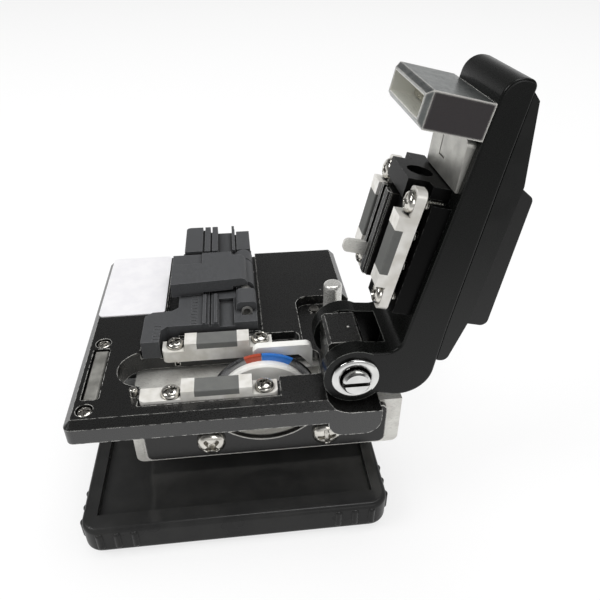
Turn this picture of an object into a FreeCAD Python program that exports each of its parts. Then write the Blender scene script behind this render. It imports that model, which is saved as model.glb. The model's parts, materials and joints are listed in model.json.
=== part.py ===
import FreeCAD, Part
import math
import os
import Sketcher

# Fibre cleaver: a tray base carries a raised deck, a carriage with a blade wheel
# runs under the deck, and a hinged lid brings two clamps, an anvil and a magnetic
# catch down onto it.  Millimetres.
#
# Everything is modelled with its zero at the deck's front left top corner (X to
# the hinge, Y towards the back, Z up), the lid shut.  The Placement of each
# sub-part then carries it to the frame of the whole object, whose zero is the
# middle of the rubber mat's underside, and swings the lid parts open.

doc = FreeCAD.newDocument("fibre_cleaver")
sheet = doc.addObject("Spreadsheet::Sheet", "Dims")

NODES = []
SHUT = []


class Size:
    """A length with the spreadsheet expression that it comes from."""

    def __init__(self, number, text):
        self.number = number
        self.text = text

    def join(self, other, sign, swap=False):
        if not isinstance(other, Size):
            other = Size(float(other), str(float(other)))
        first, second = (other, self) if swap else (self, other)
        number = {
            "+": lambda a, b: a + b,
            "-": lambda a, b: a - b,
            "*": lambda a, b: a * b,
            "/": lambda a, b: a / b,
        }[sign](first.number, second.number)
        return Size(number, "(%s %s %s)" % (first.text, sign, second.text))

    def __add__(self, other):
        return self.join(other, "+")

    def __radd__(self, other):
        return self.join(other, "+", True)

    def __sub__(self, other):
        return self.join(other, "-")

    def __rsub__(self, other):
        return self.join(other, "-", True)

    def __mul__(self, other):
        return self.join(other, "*")

    def __rmul__(self, other):
        return self.join(other, "*", True)

    def __truediv__(self, other):
        return self.join(other, "/")


def size(alias, number):
    """Put one driving dimension in the sheet and return it."""
    row = size.row
    size.row += 1
    sheet.set("A%d" % row, alias)
    sheet.set("B%d" % row, str(number))
    sheet.setAlias("B%d" % row, alias)
    return Size(float(number), "Dims." + alias)


size.row = 1

# The whole object's frame.
origin_left = size("origin_left", 30.35)
origin_front = size("origin_front", 27.7)
deck_height = size("deck_height", 34.0)

# Deck plate.
deck_left = size("deck_left", -1.0)
deck_right = size("deck_right", 60.4)
deck_front = size("deck_front", -1.5)
deck_back = size("deck_back", 61.2)
deck_thick = size("deck_thick", 5.0)
deck_bevel = size("deck_bevel", 1.45)

# Long slot in the deck, where the blade shows.
slot_left = size("slot_left", 7.4)
slot_right = size("slot_right", 50.3)
slot_front = size("slot_front", 8.0)
slot_back = size("slot_back", 19.2)
slot_corner = size("slot_corner", 2.0)

# Base tray.
base_left = size("base_left", -2.2)
base_right = size("base_right", 62.9)
base_front = size("base_front", -6.0)
base_back = size("base_back", 61.4)
base_top = size("base_top", -26.0)
base_bottom = size("base_bottom", -33.4)
base_rim = size("base_rim", 3.2)
tray_depth = size("tray_depth", 1.3)
base_wall = size("base_wall", 2.0)
base_corner = size("base_corner", 4.0)
base_edge = size("base_edge", 1.1)
mat_thick = size("mat_thick", 0.8)

# Hinge.
hinge_along = size("hinge_along", 54.9)
hinge_up = size("hinge_up", 4.3)
pin_radius = size("pin_radius", 2.7)
pin_front = size("pin_front", -1.1)
pin_back = size("pin_back", 20.9)
bush_gap = size("bush_gap", 0.06)
bush_flange_radius = size("bush_flange_radius", 4.7)
bush_sleeve_radius = size("bush_sleeve_radius", 3.7)
bush_flange_thick = size("bush_flange_thick", 0.8)
knuckle_radius = size("knuckle_radius", 6.2)
scallop_radius = size("scallop_radius", 6.9)
lug_left = size("lug_left", 49.6)
lug_bottom = size("lug_bottom", -8.6)
ear_left = size("ear_left", 50.1)
ear_right = size("ear_right", 57.2)
ear_front = size("ear_front", 5.0)
ear_back = size("ear_back", 14.9)
ear_top = size("ear_top", 10.1)
hinge_pocket_left = size("hinge_pocket_left", 46.9)
hinge_pocket_back = size("hinge_pocket_back", 36.9)
button_top = size("button_top", 6.2)
open_angle = size("open_angle", 102.8)

# Lid.
lid_front = size("lid_front", 1.2)
lid_back = size("lid_back", 18.8)
lid_end = size("lid_end", -3.9)
lid_heel = size("lid_heel", 58.4)
lid_under = size("lid_under", 11.1)
arm_thick = size("arm_thick", 3.6)

# Clamps: a holder with a rubber pad between two posts.
pad_left = size("pad_left", 23.7)
pad_right = size("pad_right", 32.4)
post_wide = size("post_wide", 2.6)
grip_level = size("grip_level", 2.5)
near_front = size("near_front", 2.6)
near_back = size("near_back", 6.6)
far_front = size("far_front", 17.5)
far_back = size("far_back", 21.5)
screw_left = size("screw_left", 19.0)
screw_right = size("screw_right", 37.4)
clamp_travel = size("clamp_travel", 0.8)
anvil_travel = size("anvil_travel", 1.2)

# Blade and its carriage.
blade_along = size("blade_along", 37.6)
blade_up = size("blade_up", -9.4)
blade_radius = size("blade_radius", 11.7)
blade_front = size("blade_front", 12.6)
blade_thick = size("blade_thick", 0.7)
flange_radius = size("flange_radius", 10.0)
axle_radius = size("axle_radius", 2.0)
running_gap = size("running_gap", 0.05)
carriage_left = size("carriage_left", 9.8)
carriage_right = size("carriage_right", 66.4)
carriage_front = size("carriage_front", 5.0)
carriage_back = size("carriage_back", 22.0)
carriage_top = size("carriage_top", -6.0)
carriage_lip = size("carriage_lip", -18.6)
carriage_bottom = size("carriage_bottom", -23.4)
plate_thick = size("plate_thick", 1.4)
carriage_screw_up = size("carriage_screw_up", -12.3)
scoop_radius = size("scoop_radius", 12.3)
scoop_up = size("scoop_up", -1.0)

# Linear rail.
rail_up = size("rail_up", -16.0)
rail_wide = size("rail_wide", 7.0)
rail_face = size("rail_face", 30.0)
rail_tall = size("rail_tall", 4.7)
block_wide = size("block_wide", 17.0)

# Fibre adapter.
adapter_level = size("adapter_level", 2.5)
adapter_under = size("adapter_under", -1.8)
adapter_back = size("adapter_back", 70.0)
flap_axis_along = size("flap_axis_along", 35.0)
flap_axis_up = size("flap_axis_up", 2.4)
flap_barrel = size("flap_barrel", 2.3)
flap_pin = size("flap_pin", 1.25)
doc.recompute()


def unique(name):
    """A document name for a helper solid."""
    unique.count += 1
    return "%s_%03d" % (name, unique.count)


unique.count = 0


def bind(target, prop, value):
    """Give a property its value, by expression where it has one."""
    if isinstance(value, Size):
        target.setExpression(prop, value.text)
    else:
        axis_holder = prop.split(".")
        if len(axis_holder) == 1:
            setattr(target, prop, value)
        else:
            target.setExpression(prop, str(float(value)))


def move_to(target, place):
    for axis_name, value in zip("xyz", place):
        bind(target, "Placement.Base." + axis_name, value)


def box(x, y, z, name="box"):
    """A block between two values on each axis."""
    block = doc.addObject("Part::Box", unique(name))
    for prop, span in (("Length", x), ("Width", y), ("Height", z)):
        bind(block, prop, span[1] - span[0])
    move_to(block, (x[0], y[0], z[0]))
    return block


TURNS = {
    "x": FreeCAD.Rotation(FreeCAD.Vector(0, 1, 0), 90),
    "y": FreeCAD.Rotation(FreeCAD.Vector(1, 0, 0), -90),
    "z": FreeCAD.Rotation(),
}


def round_bar(axis, centre, radius, span, name="round_bar"):
    """A cylinder along one axis; centre gives the two other coordinates."""
    bar = doc.addObject("Part::Cylinder", unique(name))
    bind(bar, "Radius", radius)
    bind(bar, "Height", span[1] - span[0])
    bar.Placement.Rotation = TURNS[axis]
    place = {
        "x": (span[0], centre[0], centre[1]),
        "y": (centre[0], span[0], centre[1]),
        "z": (centre[0], centre[1], span[0]),
    }[axis]
    move_to(bar, place)
    return bar


def fuse(*pieces):
    """Join solids into one."""
    joined = doc.addObject("Part::MultiFuse", unique("fuse"))
    joined.Shapes = list(pieces)
    joined.Refine = True
    return joined


def cut(base, *tools):
    """Take one or more tools out of a solid."""
    whole = doc.addObject("Part::Cut", unique("cut"))
    whole.Base = base
    whole.Tool = tools[0] if len(tools) == 1 else fuse(*tools)
    whole.Refine = True
    return whole


def group(*pieces):
    """Several separate solids in one node."""
    together = doc.addObject("Part::Compound", unique("group"))
    together.Links = list(pieces)
    return together


def fillet(base, radius, chosen, kind="Fillet"):
    """Round, or chamfer, the edges that a test picks."""
    doc.recompute()
    edges = [n for n, edge in enumerate(base.Shape.Edges, 1) if chosen(edge)]
    if not edges:
        raise RuntimeError("no edge to finish on " + base.Name)
    finished = doc.addObject("Part::" + kind, unique(kind.lower()))
    finished.Base = base
    amount = radius.number if isinstance(radius, Size) else radius
    finished.Edges = [(n, amount, amount) for n in edges]
    return finished


def straight_along(axis):
    """A test for straight edges parallel to an axis."""
    index = "xyz".index(axis)

    def test(edge):
        if edge.Curve.TypeId != "Part::GeomLine":
            return False
        run = edge.Vertexes[-1].Point - edge.Vertexes[0].Point
        return abs(abs(run[index]) - run.Length) < 1e-6

    return test


def line_at(axis, **place):
    """A test for straight edges along an axis, at given coordinates."""
    along = straight_along(axis)

    def test(edge):
        if not along(edge):
            return False
        middle = edge.CenterOfMass
        for name, value in place.items():
            number = value.number if isinstance(value, Size) else value
            if abs(middle["xyz".index(name)] - number) > 0.02:
                return False
        return True

    return test


def any_of(*tests):
    return lambda edge: any(test(edge) for test in tests)


# The sketch planes, by the axis that they are padded along: the origin plane's
# role, and the sign that turns a pad towards the axis's positive end.
PLANES = {"z": ("XY_Plane", 1), "y": ("XZ_Plane", -1), "x": ("YZ_Plane", 1)}


def profile(axis, outline, span, name="profile"):
    """A PartDesign body: a closed outline of straight runs, padded along an axis.

    On plane XZ the sketch's own normal points to -Y, so its offset and its pad
    are turned round to run from span[0] to span[1].
    """
    role, sign = PLANES[axis]
    body = doc.addObject("PartDesign::Body", unique(name))
    sketch = body.newObject("Sketcher::SketchObject", unique("outline"))
    plane = [f for f in body.Origin.OriginFeatures if f.Role == role][0]
    sketch.AttachmentSupport = (plane, [""])
    sketch.MapMode = "FlatFace"
    points = [
        FreeCAD.Vector(*[c.number if isinstance(c, Size) else c for c in point], 0)
        for point in outline
    ]
    corners = zip(points, points[1:] + points[:1])
    for index, (start, end) in enumerate(corners):
        sketch.addGeometry(Part.LineSegment(start, end))
        if index:
            sketch.addConstraint(Sketcher.Constraint("Coincident", index - 1, 2, index, 1))
    sketch.addConstraint(Sketcher.Constraint("Coincident", len(points) - 1, 2, 0, 1))
    for index, point in enumerate(outline):
        for kind, value in zip(("DistanceX", "DistanceY"), point):
            number = value.number if isinstance(value, Size) else value
            which = sketch.addConstraint(
                Sketcher.Constraint(kind, -1, 1, index, 1, number)
            )
            if isinstance(value, Size):
                sketch.setExpression("Constraints[%d]" % which, value.text)
    start = span[0] if sign > 0 else -1 * as_size(span[0])
    bind(sketch, "AttachmentOffset.Base.z", start)
    pad = body.newObject("PartDesign::Pad", unique("pad"))
    pad.Profile = sketch
    bind(pad, "Length", span[1] - span[0])
    pad.Reversed = sign < 0
    sketch.Visibility = False
    body.Tip = pad
    return body


def as_size(value):
    return value if isinstance(value, Size) else Size(float(value), str(float(value)))


def screw(axis, head_at, head_radius, head_tall, shank_radius, shank_end):
    """A pan head screw with a cross recess.

    head_at is the middle of the head's seat and shank_end the far end's
    coordinate on the axis, so their difference gives the way it points.
    """
    index = "xyz".index(axis)
    seat = as_size(head_at[index])
    tip = as_size(shank_end)
    out = 1 if seat.number > tip.number else -1
    crown = seat + out * head_tall
    others = [head_at[i] for i in range(3) if i != index]
    sides = sorted((seat, crown), key=lambda s: s.number)
    head = round_bar(axis, others, head_radius, sides, "head")
    head = fillet(head, head_tall * 0.6, lambda e: abs(e.CenterOfMass[index] - crown.number) < 1e-6)
    run = sorted((seat, tip), key=lambda s: s.number)
    shank = round_bar(axis, others, shank_radius, run, "shank")
    depth = 0.55 * head_tall
    floor = sorted((crown - out * depth, crown + out * 1.0), key=lambda s: s.number)
    arms = []
    for long_way in (0, 1):
        spans = []
        for turn, value in enumerate(others):
            half = 0.55 * head_radius if turn == long_way else 0.14 * head_radius
            spans.append((as_size(value) - half, as_size(value) + half))
        spans.insert(index, tuple(floor))
        arms.append(box(*spans, name="recess"))
    return cut(fuse(head, shank), *arms)


def node(piece, label, lid=False):
    """Name a sub-part that is written out.

    A primitive's place is bound to the sheet, so it goes in a group that is free
    to be moved.
    """
    if piece.TypeId in ("Part::Box", "Part::Cylinder"):
        piece = group(piece)
    piece.Label = label
    NODES.append(piece)
    if lid:
        SHUT.append(piece)
    return piece


def both(low, high, margin):
    """A span widened at both ends."""
    return (low - margin, high + margin)


# --------------------------------------------------------------------- base

def base_parts():
    """Tray base: shell, bottom cover, rubber mat and the screws that hold it all."""
    across = (base_left, base_right)
    deep = (base_front, base_back)
    block = box(across, deep, (base_bottom, base_top), "tray")
    block = fillet(block, base_corner, straight_along("z"))
    # Both rims are rounded all round, as they come from the mould.
    block = fillet(block, 1.5, lambda e: abs(e.BoundBox.ZMax - base_bottom.number) < 1e-6)
    block = fillet(block, base_edge, lambda e: abs(e.BoundBox.ZMin - base_top.number) < 1e-6)
    floor = base_top - tray_depth
    tray = box(
        (base_left + base_rim, base_right - base_rim),
        (base_front + base_rim + 0.8, base_back - base_rim),
        (floor, base_top + 1),
    )
    hollow = box(
        (base_left + 4.3, base_right - 4.3),
        (base_front + 4.3, base_back - 4.3),
        (base_bottom - 1, floor - base_wall),
    )
    shell = fuse(cut(block, tray, hollow), *base_ribs())
    posts = []
    for x, y in frame_screw_places():
        posts.append(round_bar("z", (x, y), 3.4, (base_bottom + 1.4, floor - base_wall + 0.2)))
    shell = fuse(shell, *posts)
    holes = [round_bar("z", (x, y), 1.3, (base_bottom - 1, base_top)) for x, y in frame_screw_places()]
    node(cut(shell, *holes), "base_shell")

    cover = box(
        (base_left + 4.45, base_right - 4.45),
        (base_front + 4.45, base_back - 4.45),
        (base_bottom + 0.2, base_bottom + 1.4),
    )
    holes = [round_bar("z", (x, y), 1.3, (base_bottom - 1, base_top)) for x, y in frame_screw_places()]
    for x, y in frame_screw_places():
        holes.append(round_bar("z", (x, y), 2.4, (base_bottom - 1, base_bottom + 0.95)))
    node(cut(cover, *holes), "base_cover")

    mat = box(
        (base_left + 6.5, base_right - 6.5),
        (base_front + 6.5, base_back - 6.5),
        (base_bottom + 0.2 - mat_thick, base_bottom + 0.2),
        "mat",
    )
    node(fillet(mat, 3.0, straight_along("z")), "rubber_mat")

    screws = []
    for x, y in frame_screw_places():
        screws.append(screw("z", (x, y, base_bottom + 0.95), 2.2, 0.7, 1.2, base_top + 3.0))
    node(group(*screws), "base_screws")


def base_ribs():
    """Upright finger ribs on both faces of the two front corners."""
    ribs = []
    places = []
    height = (base_bottom + 1.7, base_top - 1.1)
    for step in range(3):
        along = 3.9 + 3.6 * step
        for x in (base_left + along, base_right - along):
            places.append((x, base_front + 0.35))
        y = base_front + along
        places += [(base_left + 0.35, y), (base_right - 0.35, y)]
    for place in places:
        rib = round_bar("z", place, 0.85, height, "rib")
        ribs.append(fillet(rib, 0.5, lambda e: e.Curve.TypeId == "Part::GeomCircle"))
    return ribs


def frame_screw_places():
    """Four screws that tie base, cover and frame block together."""
    return [(x, y) for x in (8.5, 51.5) for y in (34.5, 43.0)]


def frame_parts():
    """The block that stands on the base and carries the deck and the rail."""
    floor = base_top - tray_depth
    block = box((3.0, 57.0), (rail_face, 58.0), (floor, -1 * deck_thick), "frame")
    block = fillet(block, 2.0, line_at("z", y=58.0))
    holes = []
    for x, y in frame_screw_places():
        holes.append(round_bar("z", (x, y), 1.2, (floor - 1, base_top + 3.0)))
        holes.append(round_bar("z", (x, y), 1.2, (-1 * deck_thick - 8.0, -1 * deck_thick + 1)))
    for x in rail_screw_places():
        holes.append(round_bar("y", (x, rail_up), 1.0, (rail_face - 1, rail_face + 3.8)))
    holes.append(round_bar("z", button_place(), 2.6, (-1 * deck_thick - 3.4, -1 * deck_thick + 1)))
    node(cut(block, *holes), "frame_block")

    studs = []
    for x, y in frame_screw_places():
        studs.append(round_bar("z", (x, y), 1.2, (-1 * deck_thick - 8.0, -1 * deck_thick + 3.0), "stud"))
    node(group(*studs), "deck_studs")


def rail_screw_places():
    return (9.0, 28.0, 47.0)


def rail_parts():
    """Miniature linear guide: rail on the frame block, slider on the carriage."""
    half = rail_wide / 2
    rail = box((4.0, 56.0), (rail_face - rail_tall, rail_face), (rail_up - half, rail_up + half), "rail")
    grooves = []
    for side in (rail_up - half, rail_up + half):
        grooves.append(round_bar("x", (rail_face - rail_tall + 1.7, side), 0.6, (3.0, 57.0)))
    holes = []
    for x in rail_screw_places():
        holes.append(round_bar("y", (x, rail_up), 1.9, (rail_face - rail_tall - 1, rail_face - 2.4)))
        holes.append(round_bar("y", (x, rail_up), 1.0, (rail_face - rail_tall - 1, rail_face + 1)))
    node(cut(rail, *grooves, *holes), "linear_rail")
    screws = []
    for x in rail_screw_places():
        screws.append(screw("y", (x, rail_face - 2.4, rail_up), 1.7, 1.2, 1.0, rail_face + 3.6))
    node(group(*screws), "rail_screws")

    wide = block_wide / 2
    slider = box((26.0, 50.0), (carriage_back, rail_face - 1.5), (rail_up - wide, rail_up + wide), "slider")
    rail_sides = (rail_up - half - 0.12, rail_up + half + 0.12)
    channel = box((25.0, 51.0), (rail_face - rail_tall - 0.2, rail_face), rail_sides)
    node(cut(slider, channel), "slider_block")


# ----------------------------------------------------------------- carriage

def carriage_parts():
    """Sliding carriage: silver body, black front plate, guard, axle and screws."""
    across = (carriage_left, carriage_right)
    front = box(across, (carriage_front, 12.0), (carriage_lip, carriage_top), "carriage")
    rear = box(across, (12.0, carriage_back), (carriage_bottom, carriage_top))
    body = fuse(front, rear)
    body = fillet(body, 1.5, any_of(
        line_at("y", x=carriage_left, z=carriage_lip),
        line_at("y", x=carriage_right, z=carriage_lip),
        line_at("y", x=carriage_left, z=carriage_bottom),
        line_at("y", x=carriage_right, z=carriage_bottom),
    ))
    axis = (blade_along, blade_up)
    well = round_bar("y", axis, blade_radius + 0.6, (10.4, 15.1))
    scoop = round_bar("y", (blade_along, scoop_up), scoop_radius, (0.0, 10.6))
    bore = round_bar("y", axis, axle_radius, (14.0, 20.0))
    # The well is open upwards, where the blade stands out.
    mouth_sides = both(blade_along - blade_radius, blade_along + blade_radius, 0.6)
    mouth = box(mouth_sides, (10.4, 15.1), (blade_up, 0.0))
    seat = box((35.4, 50.2), (15.1, 17.3), (-9.0, 0.0))
    threads = [round_bar("y", (x, carriage_screw_up), 1.5, (4.0, 12.0)) for x in carriage_screw_places()]
    node(cut(body, well, mouth, scoop, bore, seat, *threads), "carriage_body")

    plate = box(
        (carriage_left + 2.4, carriage_right - 3.4),
        (carriage_front - plate_thick, carriage_front),
        (-17.0, carriage_top - 0.2),
        "front_plate",
    )
    plate = fillet(plate, 1.6, straight_along("y"))
    scoop = round_bar("y", (blade_along, scoop_up), scoop_radius, (0.0, 10.0))
    holes = [round_bar("y", (x, carriage_screw_up), 1.55, (0.0, 10.0)) for x in carriage_screw_places()]
    node(cut(plate, scoop, *holes), "carriage_plate")

    face = carriage_front - plate_thick
    screws = [screw("y", (x, face, carriage_screw_up), 3.0, 2.0, 1.5, 11.0) for x in carriage_screw_places()]
    node(group(*screws), "carriage_screws")

    # Guard: an upright cheek behind the blade, scooped out round its rim.
    cheek = box((35.6, 48.5), (15.3, 17.1), (-9.0, 1.9), "guard")
    cheek = fillet(cheek, 1.6, any_of(line_at("y", x=48.5, z=1.9), line_at("y", x=35.6, z=1.9)))
    rim = round_bar("y", axis, blade_radius + 0.1, (14.0, 18.0))
    lintel = box((34.0, 51.0), (14.0, 18.0), (-0.6, 3.0))
    node(cut(cheek, cut(rim, lintel)), "blade_guard")

    axle = screw("y", (blade_along, 10.7, blade_up), 3.4, 1.2, axle_radius, 19.5)
    node(axle, "blade_axle")


def carriage_screw_places():
    return (25.9, 50.0)


def blade_parts():
    """Blade wheel between its silver flange and a black hub."""
    axis = (blade_along, blade_up)
    hole = axle_radius + running_gap
    back = blade_front + blade_thick
    wheel = round_bar("y", axis, blade_radius, (blade_front, back), "wheel")
    # The cutting rim comes to an edge in the middle of the wheel's thickness.
    wheel = fillet(wheel, 0.3, lambda e: e.Curve.TypeId == "Part::GeomCircle", "Chamfer")
    node(cut(wheel, round_bar("y", axis, hole, (8.0, 18.0))), "blade_wheel")
    flange = round_bar("y", axis, flange_radius, (10.9, blade_front), "flange")
    flange = fillet(flange, 0.4, lambda e: abs(e.CenterOfMass.y - 10.9) < 1e-6, "Chamfer")
    node(cut(flange, round_bar("y", axis, hole, (8.0, 18.0))), "blade_flange")
    hub = round_bar("y", axis, 6.0, (back, 14.7), "hub")
    node(cut(hub, round_bar("y", axis, hole, (8.0, 18.0))), "blade_hub")


# --------------------------------------------------------------------- deck

def deck_parts():
    """Deck plate with its pockets, the hinge ear and lug, and what is set into it."""
    underside = -1 * deck_thick
    plate = box((deck_left, deck_right), (deck_front, deck_back), (underside, 0), "deck")
    plate = fillet(plate, 1.6, any_of(
        line_at("z", x=deck_left, y=deck_front),
        line_at("z", x=deck_left, y=deck_back),
        line_at("z", x=deck_right, y=deck_back),
    ))
    plate = fillet(plate, deck_bevel, line_at("x", y=deck_front, z=0), "Chamfer")
    axis = (hinge_along, hinge_up)
    # Rounded lug under the near hinge arm.
    lug = box((lug_left, deck_right), (deck_front, 3.2), (lug_bottom, underside + 0.5), "lug")
    lug = fillet(lug, 3.4, any_of(
        line_at("y", x=lug_left, z=lug_bottom),
        line_at("y", x=deck_right, z=lug_bottom),
    ))
    ear = box((ear_left, ear_right), (ear_front, ear_back), (-1, ear_top), "ear")
    ear = fillet(ear, 0.6, any_of(
        line_at("y", x=ear_left, z=ear_top),
        line_at("y", x=ear_right, z=ear_top),
    ), "Chamfer")
    solid = fuse(plate, lug, ear)

    slot = box((slot_left, slot_right), (slot_front, slot_back), (-9.0, 3.0), "slot")
    slot = fillet(slot, (slot_back - slot_front).number / 2 - 0.05, line_at("z", x=slot_left))
    slot = fillet(slot, slot_corner, line_at("z", x=slot_right))
    far_pocket = box((15.6, 46.2), (far_front, 22.9), (-2.2, 3.0), "far_pocket")
    far_pocket = fillet(far_pocket, 1.6, line_at("z", y=22.9))
    near_pocket = box((12.6, 40.6), (near_front - 0.3, slot_front + 1.0), (-1.2, 3.0), "near_pocket")
    keeper = box((1.4, 4.9), (5.1, 21.1), (-1.6, 3.0), "keeper_pocket")
    keeper = fillet(keeper, 0.6, straight_along("z"))
    foot_pocket = box((11.4, 19.4), (slot_back - 1.0, 30.9), (adapter_under, 3.0))
    seat = box((16.0, 38.2), (24.1, deck_back + 1), (adapter_under, 3.0))
    near_scallop = round_bar("y", axis, scallop_radius, (deck_front - 1, ear_front), "scallop")
    scallop_low = hinge_up - scallop_radius
    near_right = box((hinge_along, deck_right + 2), (deck_front - 1, ear_front), (scallop_low, 4.0))
    hinge_pocket = box((hinge_pocket_left, deck_right + 2), (ear_back, hinge_pocket_back),
                       (scallop_low, 4.0), "hinge_pocket")
    hinge_pocket = fillet(hinge_pocket, 3.2, line_at("z", x=hinge_pocket_left, y=hinge_pocket_back))
    far_bore = round_bar("y", axis, pin_radius, (ear_front - 1, ear_back + 1))
    button_bore = round_bar("z", button_place(), 2.25, (underside - 1, 1.0))
    studs = [round_bar("z", (x, y), 1.2, (underside - 1, underside + 3.0)) for x, y in frame_screw_places()]
    sockets = [round_bar("z", (x, y), 0.85, (-3.4, 1.0)) for x, y in keeper_screw_places()]
    sockets += [round_bar("z", (x, y), 1.65, (-0.9, 1.0)) for x, y in keeper_screw_places()]
    for x in (screw_left, screw_right):
        for y in ((near_front + near_back) / 2, (far_front + far_back) / 2 + 0.6):
            sockets.append(round_bar("z", (x, y), 1.0, (underside + 0.4, 1.0)))
    sockets.append(round_bar("z", stop_pin_place(), 0.8, (-3.0, 1.0)))
    solid = cut(
        solid, slot, far_pocket, near_pocket, keeper, foot_pocket, seat, near_scallop,
        near_right, hinge_pocket, far_bore, button_bore, *studs, *sockets,
    )
    node(solid, "deck_plate")

    bar = box((1.8, 4.5), (5.5, 20.7), (-1.6, -0.25), "keeper")
    bar = fillet(bar, 0.2, any_of(line_at("y", z=-0.25), line_at("x", z=-0.25)), "Chamfer")
    node(bar, "keeper_bar")
    screws = [screw("z", (x, y, -0.9), 1.6, 0.8, 0.8, -3.3) for x, y in keeper_screw_places()]
    node(group(*screws), "keeper_screws")
    plate = box((0.3, 15.6), (33.2, 60.3), (0, 0.25), "label")
    node(fillet(plate, 1.2, straight_along("z")), "label_plate")
    pin = round_bar("z", stop_pin_place(), 0.8, (-3.0, 1.8), "stop_pin")
    node(fillet(pin, 0.4, lambda e: abs(e.CenterOfMass.z - 1.8) < 1e-6), "stop_pin")


def keeper_screw_places():
    return ((3.1, 23.1), (2.7, 2.3))


def stop_pin_place():
    return (11.7, 5.6)


def button_place():
    return (55.6, 32.6)


def holder_outline(foot, level, side, left_end):
    """Side view of a clamp holder: low ends for the screws, a raised middle with
    a pocket for the pad.  side is 1 for the lower clamps and -1 for the upper."""
    end = level - side * 1.9
    pocket = level - side * 1.5
    left = as_size(pad_left) - post_wide
    right = as_size(pad_right) + post_wide
    return [
        (left_end, foot), (left_end, end), (left, end), (left, level),
        (pad_left, level), (pad_left, pocket), (pad_right, pocket), (pad_right, level),
        (right, level), (right, end), (screw_right + 2.6, end), (screw_right + 2.6, foot),
    ]


def lower_clamps():
    """The two fixed clamps, either side of the blade."""
    screws = []
    for name, front, back, foot, left_end in (
        ("near", near_front, near_back, -1.2, screw_left - 6.1),
        ("far", far_front, far_back, -2.2, screw_left - 2.8),
    ):
        outline = holder_outline(foot, grip_level, 1, left_end)
        holder = profile("y", outline, (front, back), name + "_holder")
        holder = fillet(holder, 1.3, any_of(
            line_at("z", x=left_end, y=front),
            line_at("z", x=screw_right + 2.6, y=front),
        ))
        middle = (front + back) / 2 + (0.6 if name == "far" else 0.0)
        holes = [round_bar("z", (x, middle), 1.05, (-4.0, 4.0)) for x in (screw_left, screw_right)]
        node(cut(holder, *holes), name + "_lower_holder")
        pad = box((pad_left, pad_right), (front, back), (grip_level - 1.5, grip_level), "pad")
        node(fillet(pad, 0.25, line_at("x", z=grip_level)), name + "_lower_pad")
        for x in (screw_left, screw_right):
            screws.append(screw("z", (x, middle, grip_level - 1.9), 1.95, 1.25, 1.0, -4.6))
    node(group(*screws), "lower_clamp_screws")


# ------------------------------------------------------------------ adapter

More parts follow.
